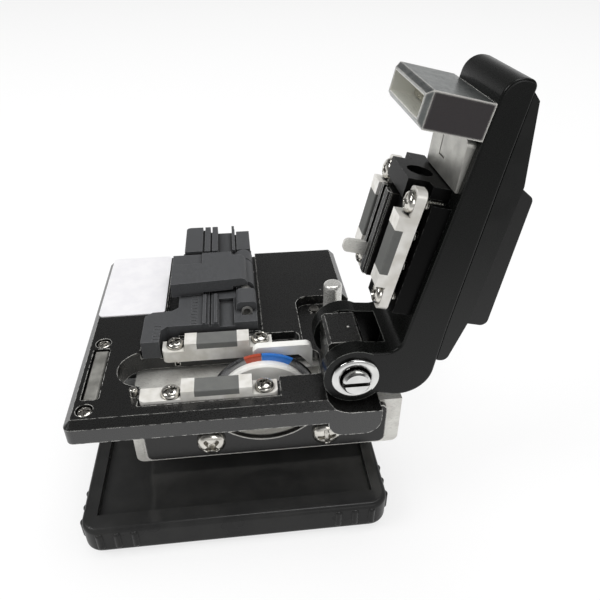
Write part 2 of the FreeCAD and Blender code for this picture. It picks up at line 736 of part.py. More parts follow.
def adapter_parts():
    """Fibre adapter: grooved body with a scale, a hinged flap, its pin and magnet."""
    level = adapter_level
    under = adapter_under
    outline = [
        (11.8, 19.0), (15.7, 19.0), (15.7, 23.0), (17.0, 24.4), (37.2, 24.4), (37.2, 57.0),
        (19.2, 57.0), (19.2, 31.6), (17.8, 30.4), (13.4, 30.2), (11.8, 28.8),
    ]
    slab = profile("z", outline, (under, level), "adapter_slab")
    tail = box((19.6, 37.0), (56.0, adapter_back), (under, level + 1.2), "tail")
    tail = fillet(tail, 1.2, line_at("z", y=adapter_back))
    step = box((33.0, 38.0), (66.4, adapter_back + 1), (under - 1, 6.0))
    knuckle = fuse(
        round_bar("y", (flap_axis_along, flap_axis_up), flap_barrel, (28.8, 34.6)),
        box((32.6, 37.3), (28.8, 34.6), (level - 1, level + 2.4)),
    )
    knuckle = fillet(knuckle, 1.1, line_at("y", z=level + 2.4))
    rear_knuckle = round_bar("y", (flap_axis_along, flap_axis_up), flap_barrel, (49.4, 54.0))
    ribs = [box((x - 0.35, x + 0.35), (24.4, 36.0), (level - 1, level + 0.45), "rib") for x in (25.2, 27.8)]
    body = fuse(slab, tail, knuckle, rear_knuckle, *ribs)
    tools = [
        step,
        box((26.3, 26.8), (24.0, adapter_back + 1), (level - 0.6, 6.0)),
        box((28.5, 32.0), (24.0, 34.4), (level - 1.0, 6.0)),
        box((28.3, 32.2), (56.0, adapter_back + 1), (level - 1.0, 6.0)),
        box((24.2, 24.8), (56.0, adapter_back + 1), (level + 0.2, 6.0)),
        box((32.9, 33.4), (56.0, adapter_back + 1), (level + 0.2, 6.0)),
        # Room for the flap's own barrel and for its pin.
        round_bar("y", (flap_axis_along, flap_axis_up), flap_barrel + 0.25, (34.6, 49.4)),
        round_bar("y", (flap_axis_along, flap_axis_up), flap_pin, (27.0, 55.0)),
        round_bar("z", (21.6, 44.0), 1.55, (level - 1.2, 6.0)),
    ]
    # Scale marks, long scale by the groove and a short one on the foot.
    for step_index in range(11):
        y = 24.9 + 1.2 * step_index
        tools.append(box((22.2, 23.6), (y - 0.12, y + 0.12), (level - 0.2, 6.0)))
    for step_index in range(5):
        y = 19.9 + 1.2 * step_index
        tools.append(box((14.2, 15.8), (y - 0.12, y + 0.12), (level - 0.2, 6.0)))
    node(cut(body, *tools), "adapter_body")

    # Flap: a thick leaf over the grooves, its right side rolled down to the barrel.
    leaf = profile("z", [(17.4, 36.0), (35.6, 37.4), (35.6, 48.9), (31.9, 48.9), (31.9, 50.6), (17.2, 50.6)],
                   (level + 0.1, level + 3.6), "flap_leaf")
    leaf = fillet(leaf, 1.8, line_at("y", x=35.6, z=level + 3.6))
    barrel = round_bar("y", (flap_axis_along, flap_axis_up), flap_barrel, (38.0, 48.9))
    pocket = box((17.0, 24.6), (45.4, 51.0), (level + 3.2, 8.0))
    groove = box((24.8, 33.6), (34.0, 52.0), (level, level + 0.7))
    shape = fuse(cut(leaf, pocket, groove), barrel)
    clear = [
        round_bar("y", (flap_axis_along, flap_axis_up), flap_pin + running_gap, (30.0, 52.0)),
        box((32.0, 38.0), (34.0, 38.0), (0.0, level + 1.6)),
    ]
    node(cut(shape, *clear), "adapter_flap")
    pin = round_bar("y", (flap_axis_along, flap_axis_up), flap_pin, (28.4, 53.6), "flap_pin")
    bore = round_bar("y", (flap_axis_along, flap_axis_up), 0.85, (28.0, 54.0))
    node(cut(pin, bore), "adapter_pin")
    node(round_bar("z", (21.6, 44.0), 1.5, (level - 1.2, level), "magnet"), "adapter_magnet")


# ----------------------------------------------------------------- button

def button_parts():
    """Sprung button beside the hinge, and the coil under it."""
    floor = -1 * deck_thick
    pin = round_bar("z", button_place(), 2.2, (floor + 0.2, button_top), "button")
    pin = fillet(pin, 0.8, lambda e: abs(e.CenterOfMass.z - button_top.number) < 1e-6)
    node(pin, "lock_button")
    coil = round_bar("z", button_place(), 1.9, (floor - 3.3, floor + 0.2), "spring")
    node(cut(coil, round_bar("z", button_place(), 1.3, (floor - 4.0, floor + 1.0))), "button_spring")


# ------------------------------------------------------------- hinge and lid

def hinge_parts():
    """Slotted hinge pin held in the ear, and the two flanged bushes of the lid."""
    axis = (hinge_along, hinge_up)
    pin = round_bar("y", axis, pin_radius, (pin_front, pin_back), "hinge_pin")
    pin = fillet(pin, 0.35, lambda e: e.Curve.TypeId == "Part::GeomCircle", "Chamfer")
    slot = box((hinge_along - 4.0, hinge_along + 4.0), (pin_front - 1, pin_front + 1.2),
               (hinge_up - 0.45, hinge_up + 0.45))
    node(cut(pin, slot), "hinge_pin")
    hole = pin_radius + bush_gap
    for name, outer, inner, side in (
        ("near_bush", lid_front - bush_flange_thick, lid_front, 1),
        ("far_bush", lid_back + bush_flange_thick, lid_back, -1),
    ):
        flange_span = sorted((outer, inner), key=lambda s: s.number)
        sleeve_span = sorted((inner, inner + side * arm_thick), key=lambda s: s.number)
        flange = round_bar("y", axis, bush_flange_radius, flange_span, "flange")
        flange = fillet(flange, 0.5, lambda e, y=outer.number: abs(e.CenterOfMass.y - y) < 1e-6)
        sleeve = round_bar("y", axis, bush_sleeve_radius, sleeve_span, "sleeve")
        bore = round_bar("y", axis, hole, (-9.0, 30.0))
        node(cut(fuse(flange, sleeve), bore), name, lid=True)


def lid_outline():
    """The lid frame seen from the side, shut."""
    return [
        (lid_end, lid_under), (48.0, lid_under), (48.9, hinge_up), (lid_heel, hinge_up),
        (lid_heel, 20.2), (41.0, 18.6), (7.0, 16.5), (lid_end, 16.0),
    ]


def lid_parts():
    """Lid frame with its two arms, the cover and the pad on it."""
    across = (lid_front, lid_back)
    frame = profile("y", lid_outline(), across, "lid")
    frame = fillet(frame, 3.2, line_at("y", x=lid_end, z=lid_under))
    frame = fillet(frame, 1.2, line_at("y", x=lid_end, z=16.0))
    frame = fillet(frame, 6.6, line_at("y", x=lid_heel, z=20.2))
    frame = fillet(frame, 3.0, line_at("y", x=48.0, z=lid_under))
    frame = fillet(frame, 0.5, lambda e: e.BoundBox.YLength < 1e-6)
    axis = (hinge_along, hinge_up)
    knuckle = round_bar("y", axis, knuckle_radius, across)
    whole = fuse(frame, knuckle)
    inner = (lid_front + arm_thick, lid_back - arm_thick)
    gap_round = round_bar("y", axis, 8.3, inner)
    gap_low = box((46.6, 70.0), inner, (-9.0, hinge_up))
    hollow = box((1.0, 44.0), (lid_front + 2.2, lid_back - 2.2), (lid_under + 1.6, 30.0))
    bore = round_bar("y", axis, bush_sleeve_radius, (-9.0, 30.0))
    holes = [round_bar("z", place, 0.9, (lid_under - 1, lid_under + 3)) for place in mount_screw_places()]
    node(cut(whole, gap_round, gap_low, hollow, bore, *holes), "lid_frame", lid=True)

    roof = profile("y", [
        (-2.2, 16.1), (-1.2, 17.4), (12.0, 21.1), (39.0, 22.3), (48.8, 21.3), (48.8, 19.4),
        (41.0, 18.7), (7.0, 16.6),
    ], (lid_front + 0.3, lid_back - 0.3), "cover")
    roof = fillet(roof, 1.4, any_of(
        line_at("y", x=12.0, z=21.1), line_at("y", x=39.0, z=22.3), line_at("y", x=48.8, z=21.3),
    ))
    hollow = profile("y", [
        (-0.4, 13.0), (0.8, 16.9), (12.4, 19.7), (38.6, 20.8), (47.0, 19.9), (44.0, 13.0),
    ], (lid_front + 1.9, lid_back - 1.9), "hollow")
    node(cut(roof, hollow), "lid_cover", lid=True)

    pad = profile("y", [(12.6, 21.2), (14.4, 25.0), (40.9, 27.5), (40.9, 22.15), (39.0, 22.35)],
                  (lid_front + 2.4, lid_back - 2.4), "press_pad")
    pad = fillet(pad, 1.3, any_of(line_at("y", x=14.4, z=25.0), line_at("y", x=40.9, z=27.5)))
    node(pad, "press_pad", lid=True)


def mount_screw_places():
    """Screws from inside the lid into the clamp mount."""
    return ((17.8, 8.2), (28.0, 4.9), (28.0, 15.0), (38.4, 9.9))


def catch_parts():
    """Magnetic catch: a hollow yoke with a chamfered mouth and a magnet inside."""
    low = 0.1
    outer = box((0.5, 6.4), (1.5, 20.9), (low, lid_under), "yoke")
    outer = fillet(outer, 0.85, lambda e: abs(e.BoundBox.ZMax - low) < 1e-6, "Chamfer")
    hollow = box((1.75, 5.15), (2.8, 19.6), (-1.0, 7.4))
    node(cut(outer, hollow), "magnet_yoke", lid=True)
    magnet = box((1.95, 4.95), (3.2, 19.2), (4.4, 7.4), "magnet")
    node(fillet(magnet, 0.3, straight_along("z")), "catch_magnet", lid=True)


def mount_parts():
    """Block under the lid that carries the upper clamps and guides the anvil."""
    plate = profile("y", [(6.8, 9.5), (15.6, 10.6), (15.6, lid_under), (6.8, lid_under)], (2.9, 18.5), "plate")
    plate = fillet(plate, 1.2, line_at("z", x=6.8, y=2.9))
    slit = fuse(box((6.0, 12.7), (13.2, 13.5), (8.0, 10.6)), box((12.4, 12.7), (10.9, 13.5), (8.0, 10.6)))
    node(cut(plate, slit), "inner_plate", lid=True)
    roof = fuse(
        box((15.8, 40.0), (4.7, 21.4), (7.5, lid_under), "mount"),
        box((18.4, 40.0), (near_front, 5.0), (7.5, lid_under)),
    )
    head = box((15.8, 19.2), (6.8, 17.3), (3.6, lid_under))
    cheeks = [
        box((17.0, 39.4), (6.9, 9.5), (4.2, lid_under)),
        box((17.0, 39.4), (14.9, 17.2), (4.2, lid_under)),
    ]
    tools = [round_bar("z", (x, 12.2), 1.06, (7.0, lid_under - 0.2)) for x in (22.0, 34.0)]
    tools.append(box((19.2, 37.4), (9.5, 14.9), (3.0, 8.7)))
    tools.append(round_bar("z", (28.0, 12.2), 1.7, (7.0, lid_under - 0.3)))
    for y in upper_clamp_middles():
        for x in (screw_left, screw_right):
            tools.append(round_bar("z", (x, y), 1.0, (7.0, 10.4)))
        for x in (25.0, 31.0):
            tools.append(round_bar("z", (x, y), 1.1, (7.0, 9.9)))
    tools.append(round_bar("x", (11.8, 7.2), 2.4, (15.0, 17.0)))
    tools += [round_bar("z", place, 0.8, (lid_under - 2.6, lid_under + 1)) for place in mount_screw_places()]
    node(cut(fuse(roof, head, *cheeks), *tools), "clamp_mount", lid=True)
    screws = []
    for x, y in mount_screw_places():
        screws.append(screw("z", (x, y, lid_under + 1.6), 1.5, 0.8, 0.8, lid_under - 2.5))
    node(group(*screws), "mount_screws", lid=True)


def upper_clamp_middles():
    return ((near_front + near_back) / 2, (far_front + far_back) / 2)


def upper_clamps():
    """The two sprung clamps in the lid, hung on shoulder screws."""
    level = grip_level + 0.15
    screws = []
    springs = []
    for name, front, back in (("near", near_front, near_back), ("far", far_front, far_back)):
        outline = holder_outline(6.3, level, -1, screw_left - 2.6)
        holder = profile("y", outline, (front, back), name + "_upper")
        holder = fillet(holder, 1.3, any_of(
            line_at("z", x=screw_left - 2.6, y=front), line_at("z", x=screw_left - 2.6, y=back),
            line_at("z", x=screw_right + 2.6, y=front), line_at("z", x=screw_right + 2.6, y=back),
        ))
        middle = (front + back) / 2
        holes = [round_bar("z", (x, middle), 1.1, (0.0, 9.0)) for x in (screw_left, screw_right)]
        node(cut(holder, *holes), name + "_upper_holder", lid=True)
        pad = box((pad_left, pad_right), (front, back), (level, level + 1.5), "pad")
        node(fillet(pad, 0.25, line_at("x", z=level)), name + "_upper_pad", lid=True)
        for x in (screw_left, screw_right):
            screws.append(screw("z", (x, middle, level + 1.9), 1.95, 1.15, 1.0, 10.4))
        for x in (25.0, 31.0):
            coil = round_bar("z", (x, middle), 1.0, (6.35 + clamp_travel, 9.9), "spring")
            springs.append(cut(coil, round_bar("z", (x, middle), 0.6, (7.0, 10.5))))
    node(group(*screws), "upper_clamp_screws", lid=True)
    node(group(*springs), "clamp_springs", lid=True)


def anvil_parts():
    """Anvil that presses on the fibre between the clamps, with its guide pins."""
    low = 2.3
    bar = box((20.0, 36.8), (9.75, 14.65), (low + 0.7, 7.3), "anvil")
    pins = [round_bar("z", (x, 12.2), 1.0, (7.0, 9.6)) for x in (22.0, 34.0)]
    slot = box((19.0, 38.0), (12.2, 13.7), (low - 1, low + 1.6))
    seat = box((32.0, 34.6), (13.7, 14.7), (low - 1, low + 2.4))
    node(cut(fuse(bar, *pins), slot, seat), "anvil_body", lid=True)
    # Two hard lips press on the fibre, one each side of the blade's path.
    near_lip = box((20.0, 36.8), (10.2, 12.2), (low, low + 0.7), "lip")
    near_lip = fillet(near_lip, 0.4, line_at("x", y=10.2, z=low), "Chamfer")
    far_lip = box((20.0, 31.9), (13.7, 14.6), (low, low + 0.7), "lip")
    node(group(near_lip, far_lip), "anvil_lips", lid=True)
    tongue = box((32.0, 34.6), (13.7, 14.6), (-1.7, low + 2.4), "tongue")
    tongue = fillet(tongue, 1.0, any_of(line_at("y", x=32.0, z=-1.7), line_at("y", x=34.6, z=-1.7)))
    node(tongue, "anvil_tongue", lid=True)
    coil = round_bar("z", (28.0, 12.2), 1.6, (7.35 + anvil_travel, lid_under - 0.35), "spring")
    node(cut(coil, round_bar("z", (28.0, 12.2), 1.05, (7.0, lid_under))), "anvil_spring", lid=True)


def place_parts():
    """Carry each sub-part from the deck's corner to the object's own frame."""
    carry = FreeCAD.Placement(
        FreeCAD.Vector(-origin_left.number, -origin_front.number, deck_height.number),
        FreeCAD.Rotation(),
    )
    swing = FreeCAD.Placement(
        FreeCAD.Vector(0, 0, 0),
        FreeCAD.Rotation(FreeCAD.Vector(0, 1, 0), open_angle.number),
        FreeCAD.Vector(hinge_along.number, 0, hinge_up.number),
    )
    for piece in NODES:
        turn = swing if piece in SHUT else FreeCAD.Placement()
        piece.Placement = carry.multiply(turn).multiply(piece.Placement)


def check_and_write():
    """Stop on anything that failed, then write one STEP file per sub-part."""
    for item in doc.Objects:
        if "Invalid" in item.State or "Error" in item.State:
            raise RuntimeError("%s failed: %s" % (item.Name, item.State))
    for piece in NODES:
        if piece.Shape.isNull() or not piece.Shape.isValid():
            raise RuntimeError(piece.Label + " has no valid shape")
    os.makedirs("parts", exist_ok=True)
    for piece in NODES:
        piece.Shape.exportStep("parts/%s.step" % piece.Label)
        print("%-22s %2d solids  %9.2f mm3" % (piece.Label, len(piece.Shape.Solids), piece.Shape.Volume))


base_parts()
frame_parts()
rail_parts()
carriage_parts()
blade_parts()
deck_parts()
lower_clamps()
adapter_parts()
button_parts()
hinge_parts()
lid_parts()
catch_parts()
mount_parts()
upper_clamps()
anvil_parts()
doc.recompute()
place_parts()
doc.recompute()
check_and_write()
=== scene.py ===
# %% [markdown]
# A fibre cleaver is a small bench tool that snaps a glass fibre square: two
# clamps hold the fibre, a blade wheel nicks it from below and an anvil in the
# lid bends it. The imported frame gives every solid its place. This script gives
# the solids their finishes and adds what solids leave out: pressed cross
# recesses, wound springs, domed bearing rings and the marks on the blade.

import json
import math

import bmesh
import bpy
import numpy as np
from mathutils import Matrix, Vector

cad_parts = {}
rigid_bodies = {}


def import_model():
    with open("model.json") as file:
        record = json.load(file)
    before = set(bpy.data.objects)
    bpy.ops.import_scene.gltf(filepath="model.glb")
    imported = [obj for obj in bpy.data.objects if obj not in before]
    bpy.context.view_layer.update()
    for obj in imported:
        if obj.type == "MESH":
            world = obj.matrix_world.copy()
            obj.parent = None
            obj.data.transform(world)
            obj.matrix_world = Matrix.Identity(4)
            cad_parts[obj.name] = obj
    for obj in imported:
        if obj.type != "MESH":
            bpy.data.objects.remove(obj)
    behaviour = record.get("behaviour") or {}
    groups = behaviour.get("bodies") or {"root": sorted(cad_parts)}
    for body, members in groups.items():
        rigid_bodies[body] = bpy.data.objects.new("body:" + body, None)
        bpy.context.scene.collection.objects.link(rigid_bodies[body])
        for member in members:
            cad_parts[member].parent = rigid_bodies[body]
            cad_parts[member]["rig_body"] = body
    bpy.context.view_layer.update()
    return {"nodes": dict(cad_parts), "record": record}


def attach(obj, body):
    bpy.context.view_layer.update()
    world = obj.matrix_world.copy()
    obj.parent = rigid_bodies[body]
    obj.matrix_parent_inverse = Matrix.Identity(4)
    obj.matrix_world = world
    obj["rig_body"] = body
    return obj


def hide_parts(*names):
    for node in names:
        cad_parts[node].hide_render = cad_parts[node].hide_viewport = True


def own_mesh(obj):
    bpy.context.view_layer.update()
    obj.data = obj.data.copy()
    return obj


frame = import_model()
nodes = frame["nodes"]
body_of_node = {n: o["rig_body"] for n, o in nodes.items()}

# %% [markdown]
# The parts were drawn with the deck's front left corner as zero and the lid
# shut. Two small functions carry points from there to the object's own frame:
# one for what stands on the base, one for what swings with the open lid. The
# lid turns about the hinge pin, so its points are turned about that axis first.
# Parenting to empties would do the same, but a finished mesh has to sit at the
# origin with its place in its points, so the turn is worked out on the points.

# %% Where drawn points lie
MM = 0.001
DECK_ZERO = np.array([-30.35, -27.7, 34.0])
HINGE = np.array([54.9, 0.0, 4.3])
LID_OPEN = math.radians(102.8)
UP, DOWN, FRONT, BACK = (0, 0, 1), (0, 0, -1), (0, -1, 0), (0, 1, 0)


def on_deck(points):
    """Deck millimetres to frame metres: add the deck corner's place."""
    return (np.asarray(points, float) + DECK_ZERO) * MM


def on_lid(points):
    """The same for lid points drawn shut.
    They turn about the hinge's Y axis: x' = x cos + z sin, z' = z cos - x sin."""
    p = np.asarray(points, float) - HINGE
    c, s = math.cos(LID_OPEN), math.sin(LID_OPEN)
    turned = np.stack([p[..., 0] * c + p[..., 2] * s, p[..., 1], p[..., 2] * c - p[..., 0] * s], -1)
    return on_deck(turned + HINGE)


print("hinge axis at", on_deck(HINGE).round(4), "metres")

# %% [markdown]
# A surface here is a grid of points. One function turns such a grid into a
# mesh: it joins neighbours into quads, wraps a direction round where the
# surface closes on itself, and welds rows that shrink to a point, so that
# every piece is a closed skin whose faces look outwards. Primitives joined by
# booleans would give the same forms with messier faces, so they aren't used.

# %% Grid to mesh
def skin(name, grids, wrap=True, smooth=50):
    """Quads between neighbours of each (rows, columns, 3) grid; columns wrap round.
    Edges that turn by more than `smooth` degrees stay sharp."""
    vertices, faces, first = [], [], 0
    for grid in grids:
        rows, columns = grid.shape[:2]
        index = first + np.arange(rows * columns).reshape(rows, columns)
        across = np.roll(index, -1, axis=1) if wrap else index[:, 1:]
        near = index if wrap else index[:, :-1]
        quads = np.stack([near[:-1], across[:-1], across[1:], near[1:]], -1).reshape(-1, 4)
        vertices.append(grid.reshape(-1, 3))
        faces.append(quads)
        first += rows * columns
    mesh = bpy.data.meshes.new(name)
    mesh.from_pydata(np.concatenate(vertices), [], np.concatenate(faces).tolist())
    work = bmesh.new()
    work.from_mesh(mesh)
    bmesh.ops.remove_doubles(work, verts=work.verts, dist=2e-7)
    bmesh.ops.dissolve_degenerate(work, edges=work.edges, dist=1e-7)
    bmesh.ops.recalc_face_normals(work, faces=work.faces)
    for face in work.faces:
        face.smooth = True
    for edge in work.edges:
        edge.smooth = edge.calc_face_angle(0.0) < math.radians(smooth)
    work.to_mesh(mesh)
    work.free()
    piece = bpy.data.objects.new(name, mesh)
    bpy.context.scene.collection.objects.link(piece)
    return piece


def frame_of(axis):
    """Two directions square to an axis, and the axis itself, from two cross products."""
    up = np.asarray(axis, float) / np.linalg.norm(axis)
    side = np.cross(up, [0.0, 0.0, 1.0] if abs(up[2]) < 0.9 else [1.0, 0.0, 0.0])
    side /= np.linalg.norm(side)
    return side, np.cross(up, side), up


def lathe(profile, centre, axis, around=96):
    """A (radius, height) profile turned about an axis: centre + r (cos, sin) + h axis."""
    side, over, up = frame_of(axis)
    r, h = np.asarray(profile, float).T
    turn = np.linspace(0, 2 * math.pi, around, endpoint=False)
    ring = np.cos(turn)[:, None] * side + np.sin(turn)[:, None] * over
    return np.asarray(centre, float) + r[:, None, None] * ring + h[:, None, None] * up


# %% [markdown]
# Pan head screws are cold formed: a punch leaves a low rounded crown and a
# cross recess with sloping walls. A boolean cut would leave a hard, flat-walled
# cross. The crown is a height over a disc, so it is worked out as one: a
# superellipse for the crown, minus the recess, which is deepest where the two
# arms cross. Plated steel catches light on every edge of that cross, which is
# what makes a small screw read as one.

# %% Cross-recess screw
THREAD_PITCH = 0.45


def cross_recess(x, y, radius, depth):
    """Depth of a cross at (x, y): full in the arms, easing out over its wall and
    towards the arm's end, and a little shallower away from the middle."""
    along = np.maximum(np.abs(x), np.abs(y)) / radius
    aside = np.minimum(np.abs(x), np.abs(y)) / radius
    wall = np.clip((0.21 - 0.09 * along - aside) / 0.05, 0, 1)
    end = np.clip((0.66 - along) / 0.16, 0, 1)
    return depth * (wall * wall * (3 - 2 * wall)) * end * (1 - 0.35 * along)


def screw_grid(centre, axis, radius, tall, shank, length, turn=0.0):
    """Crown with its recess, then rim, seat and a threaded shank that ends in a point."""
    side, over, up = frame_of(axis)
    swing = math.cos(turn) * side + math.sin(turn) * over
    cross = np.cross(up, swing)
    around = np.linspace(0, 2 * math.pi, 88, endpoint=False)
    # Crown: reach = R sin^0.8, height = H cos^0.62, so the rim is full and the top nearly flat.
    lift = np.linspace(0, 0.5 * math.pi, 42)
    x = (radius * np.sin(lift) ** 0.8)[:, None] * np.cos(around)
    y = (radius * np.sin(lift) ** 0.8)[:, None] * np.sin(around)
    z = (tall * np.clip(np.cos(lift), 0, 1) ** 0.62)[:, None] - cross_recess(x, y, radius, 0.5 * tall)
    # Thread: the shank's radius rises and falls once per pitch.
    down = np.arange(0, length - 0.3, THREAD_PITCH / 6)
    bite = shank - 0.1 + 0.06 * np.cos(2 * math.pi * down / THREAD_PITCH)
    r = np.concatenate([bite, [shank * 0.5, 0.0]])
    h = -np.concatenate([down, [length - 0.1, length]])
    x = np.concatenate([x, r[:, None] * np.cos(around)])
    y = np.concatenate([y, r[:, None] * np.sin(around)])
    z = np.concatenate([z, np.repeat(h[:, None], len(around), 1)])
    return centre + x[..., None] * swing + y[..., None] * cross + z[..., None] * up


def stand_for(piece, node, finish_slot):
    """A detailed piece takes a solid's place: same body, same finish."""
    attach(piece, body_of_node[node])
    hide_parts(node)
    piece.data.materials.append(finishes[finish_slot])
    print("made", piece.name, len(piece.data.polygons), "faces")
    return piece


# %% [markdown]
# Finishes come before the pieces, so that each piece can be given its own as
# it is made. Colours are written as sRGB hex, the way a paint card gives them,
# and turned to the linear values that light is computed in. One function adds
# every node, and a socket takes a value, a hex colour or another node, so each
# material reads from its patterns down to its shader. In the numbered sockets
# of Map Range, 0 is the value, 1 and 2 its range, and 3 and 4 the range it is
# carried to, which is 0 to 1 where it isn't given. In those of Mix, 0 is the
# share, 2 and 3 are numbers, and 6 and 7 colours.

# %% Colour and node helpers
def linear(code):
    """sRGB hex to linear RGBA: c / 12.92 below 0.04045, else ((c + 0.055) / 1.055) ^ 2.4."""
    c = np.array([int(code[i:i + 2], 16) for i in (1, 3, 5)]) / 255
    return (*np.where(c <= 0.04045, c / 12.92, ((c + 0.055) / 1.055) ** 2.4), 1.0)


def add(tree, kind, inputs=None, **settings):
    """Add one node, set its own properties, and give its sockets values, hex colours or links.
    A node that is given as a value is linked by its first output in use."""
    node = tree.nodes.new("ShaderNode" + kind)
    for name, value in settings.items():
        setattr(node, name, value)
    for socket, value in (inputs or {}).items():
        if isinstance(value, bpy.types.Node):
            value = next(output for output in value.outputs if output.enabled)
        if isinstance(value, bpy.types.NodeSocket):
            tree.links.new(value, node.inputs[socket])
        else:
            node.inputs[socket].default_value = linear(value) if isinstance(value, str) else value
    return node


def emptied(block):
    """The node tree of a material or a world, with nothing in it yet."""
    block.use_nodes = True
    block.node_tree.nodes.clear()
    return block.node_tree


def new_finish(name):
    """A material, its node tree, and the piece's own coordinates in metres."""
    material = bpy.data.materials.new(name)
    tree = emptied(material)
    return material, tree, add(tree, "TexCoord").outputs["Object"]


def noise(tree, where, grain, stretch=(1, 1, 1), detail=2.0):
    """Noise whose blotches are about `grain` millimetres, longer along a stretched axis.
    Most of its values lie between 0.35 and 0.65."""
    scale = [1 / (grain * MM * s) for s in stretch]
    spread = add(tree, "Mapping", {"Vector": where, "Scale": scale})
    return add(tree, "TexNoise", {"Vector": spread, "Scale": 1.0, "Detail": detail})


def edge_mask(tree, where, width, patch, keep):
    """1 on sharp edges: the normal of a rounded edge of `width` mm leaves the flat one there.
    Noise in patches of `patch` mm breaks it up, the more so the higher `keep` is."""
    soft = add(tree, "Bevel", {"Radius": width * MM}, samples=6)
    flat = add(tree, "NewGeometry").outputs["Normal"]
    same = add(tree, "VectorMath", {0: soft, 1: flat}, operation="DOT_PRODUCT")
    edge = add(tree, "MapRange", {0: same, 1: 0.86, 2: 0.975, 3: 1.0, 4: 0.0})
    wear_and_glint = add(tree, "MapRange", {0: noise(tree, where, patch, detail=4.0), 1: keep, 2: keep + 0.12})
    return add(tree, "Math", {0: edge, 1: wear_and_glint}, operation="MULTIPLY")


finishes = {}

# %% [markdown]
# The base is moulded in black ABS. A moulding copies the tool's spark-eroded
# texture: grains of a few tenths of a millimetre that soften its gloss on the
# rim, while the tray floor was polished and mirrors what hangs over it. The
# floor's faces could be picked out by hand, but a solid comes as loose
# triangles, so the material asks which way a face looks instead.

# %% Moulded ABS, and the rubber under it
def moulded(name, colour, wear_and_glint, rough, grain, depth, wide=6.0, gloss=0.5, polished=0.0):
    """Moulded plastic: fine even texture, uneven gloss, edges rubbed lighter.
    Faces that look up may be polished. Grain, depth and wide are millimetres."""
    material, tree, where = new_finish(name)
    broad = noise(tree, where, wide, detail=3.0)
    rubbed = edge_mask(tree, where, 0.25, 1.5, 0.42)
    tone = add(tree, "MapRange", {0: broad, 1: 0.35, 2: 0.65, 4: 0.5})
    body = add(tree, "Mix", {0: tone, 6: colour, 7: wear_and_glint}, data_type="RGBA")
    body = add(tree, "Mix", {0: rubbed, 6: body, 7: wear_and_glint}, data_type="RGBA")
    dull = add(tree, "MapRange", {0: broad, 1: 0.35, 2: 0.65, 3: rough - 0.05, 4: rough + 0.06})
    if polished:
        normal = add(tree, "SeparateXYZ", {0: add(tree, "NewGeometry").outputs["Normal"]})
        upward = add(tree, "MapRange", {0: normal.outputs["Z"], 1: 0.90, 2: 0.99})
        level = add(tree, "MapRange", {0: upward, 3: gloss, 4: polished})
        dull = add(tree, "Mix", {0: upward, 2: dull, 3: 0.14})
    relief = add(tree, "Bump", {"Height": noise(tree, where, grain, detail=3.0), "Distance": depth * MM})
    surface = add(tree, "BsdfPrincipled", {"Base Color": body, "Roughness": dull, "Normal": relief,
                                           "IOR": 1.53, "Specular IOR Level": gloss})
    if polished:
        # The plain value stays on the socket, for where the link can't be followed.
        tree.links.new(level.outputs[0], surface.inputs["Specular IOR Level"])
    add(tree, "OutputMaterial", {"Surface": surface})
    return material


finishes["base_plastic"] = moulded("moulded_abs", "#2b2b2b", "#383837", 0.30, 0.22, 0.004,
                                   gloss=0.08, polished=0.6)
finishes["cover_plastic"] = moulded("moulded_lid_cover", "#101110", "#171817", 0.26, 0.20, 0.006, gloss=0.30)
finishes["press_rubber"] = moulded("soft_touch_pad", "#131313", "#1c1c1b", 0.44, 0.18, 0.012, gloss=0.35)
finishes["rubber"] = moulded("base_rubber", "#161616", "#242424", 0.80, 0.30, 0.030)
finishes["pad_rubber"] = moulded("clamp_pad_rubber", "#636462", "#72736f", 0.72, 0.10, 0.008, 2.0)
print("moulded finishes:", len(finishes))

# %% [markdown]
# The adapter is moulded in glass-filled nylon. The fibres come up at the
# surface, so it is a dull dark grey with a fine mottle, paler on its edges.
# Painted shade darkens the grooves between its ribs and the scale's ticks.
# It could be painted there by hand. Ambient occlusion finds every groove by
# itself, so it darkens them.

# %% Glass-filled nylon
material, tree, where = new_finish("glass_filled_nylon")
mottle = noise(tree, where, 0.35, detail=4.0)
mottle_tone = add(tree, "MapRange", {0: mottle, 1: 0.35, 2: 0.65})
grey = add(tree, "Mix", {0: mottle_tone, 6: "#3d3e40", 7: "#4a4b4d"}, data_type="RGBA")
# Painted shade: ambient occlusion darkens grooves and ticks towards near black.
open_sky = add(tree, "AmbientOcclusion", {"Distance": 1.3 * MM}, samples=8).outputs["AO"]
unshaded = add(tree, "MapRange", {0: open_sky, 1: 0.50, 2: 0.98})
grey = add(tree, "Mix", {0: unshaded, 6: "#0e0e0f", 7: grey}, data_type="RGBA")
grey = add(tree, "Mix", {0: edge_mask(tree, where, 0.18, 0.8, 0.30), 6: grey, 7: "#77787a"}, data_type="RGBA")
dull = add(tree, "MapRange", {0: mottle, 1: 0.35, 2: 0.65, 3: 0.50, 4: 0.66})
relief = add(tree, "Bump", {"Height": mottle, "Distance": 0.012 * MM})
surface = add(tree, "BsdfPrincipled", {"Base Color": grey, "Roughness": dull, "Normal": relief, "IOR": 1.53})
add(tree, "OutputMaterial", {"Surface": surface})
finishes["adapter_plastic"] = material
print("finish:", material.name)
